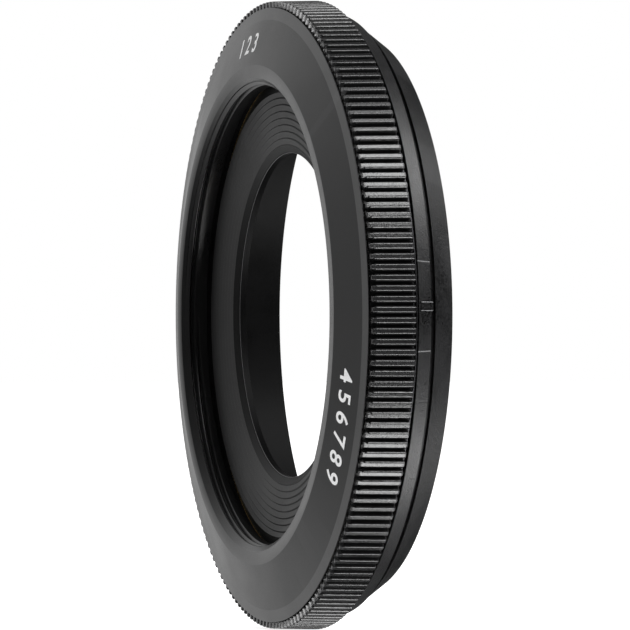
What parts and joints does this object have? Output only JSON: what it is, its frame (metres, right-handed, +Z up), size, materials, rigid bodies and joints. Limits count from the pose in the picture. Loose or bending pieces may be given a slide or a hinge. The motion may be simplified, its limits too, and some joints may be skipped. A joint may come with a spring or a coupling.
{
  "type": "pancake lens",
  "caption": "Thin open-bore pancake lens body with a ribbed control ring that turns without stops, filter thread, ridged baffle and index ring.",
  "frame": {"origin": "centre of the rear register bore in the plane of the rear seat", "axes": "+Y along the lens axis towards the camera, -Y out of the front, +Z up with the index bar near +X"},
  "size_m": [0.07, 0.0128, 0.07],
  "materials": {
    "anodised_black": "satin black anodised aluminium, fine bead-blasted grain",
    "grip_black": "black anodised aluminium, turned and milled ribs with polished edges",
    "barrel_black": "matt black anodised aluminium",
    "baffle_black": "matt black glass-filled polycarbonate with fine concentric steps",
    "carrier_black": "black glass-filled polycarbonate",
    "sensor_black": "black infrared-passing moulding compound",
    "low_friction": "natural PTFE sheet",
    "spring_steel": "stainless spring strip",
    "seal_rubber": "black nitrile rubber",
    "shim_brass": "rolled brass foil",
    "flex_amber": "polyimide film over copper tracks",
    "stiffener_steel": "thin stainless plate",
    "contact_gold": "gold flash over nickel",
    "screw_black": "black oxide steel"
  },
  "bodies": {
    "barrel": {"name_ring": "anodised_black", "index_ring": "anodised_black", "index_bar": "anodised_black", "rear_barrel": "barrel_black", "baffle_plate": "baffle_black", "flare_ring": "baffle_black", "photo_interrupter_a": "sensor_black", "photo_interrupter_b": "sensor_black", "slide_band": "low_friction", "slide_washer": "low_friction", "wave_spring": "spring_steel", "front_seal": "seal_rubber", "play_shim": "shim_brass", "sensor_flex": "flex_amber", "flex_stiffener": "stiffener_steel", "flex_contacts": "contact_gold", "stiffener_screws": "screw_black", "name_ring_screws": "screw_black"},
    "control_ring": {"grip_ring": "grip_black", "ring_carrier": "carrier_black", "encoder_comb": "carrier_black"}
  },
  "joints": [
    {"name": "control_ring_turn", "type": "hinge", "parent": "barrel", "child": "control_ring", "pos_m": [0, -0.0081, 0], "axis": [0, 1, 0], "continuous": true}
  ]
}
